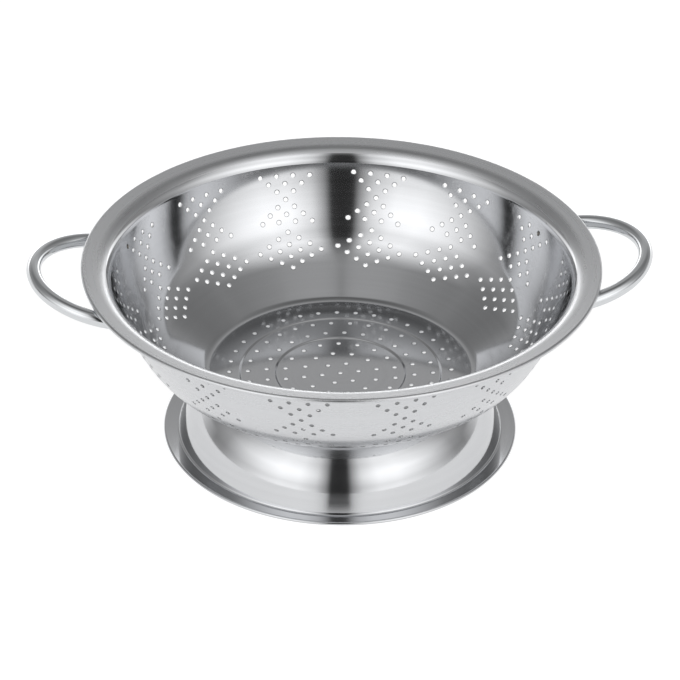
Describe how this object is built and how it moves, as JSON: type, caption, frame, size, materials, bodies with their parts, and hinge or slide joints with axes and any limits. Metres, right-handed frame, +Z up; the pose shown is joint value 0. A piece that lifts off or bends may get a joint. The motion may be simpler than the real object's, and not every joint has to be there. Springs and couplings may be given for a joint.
{
  "type": "colander",
  "caption": "Round footed colander of stainless steel with a perforated bowl, rolled rim and two raised loop handles.",
  "frame": {"origin": "centre of the circle that the foot stands on", "axes": "+Z up through the bowl's open mouth, X through the two handles, -Y towards the viewer"},
  "size_m": [0.338, 0.2799, 0.1106],
  "materials": {
    "bowl_steel": "polished inside, satin on the rim and outside",
    "foot_steel": "polished",
    "handle_steel": "polished",
    "weld_steel": "dull weld metal"
  },
  "bodies": {
    "root": {"bowl": "bowl_steel", "foot": "foot_steel", "foot_spot_welds": "weld_steel", "handle_welds": "weld_steel", "left_handle": "handle_steel", "right_handle": "handle_steel"}
  },
  "joints": []
}
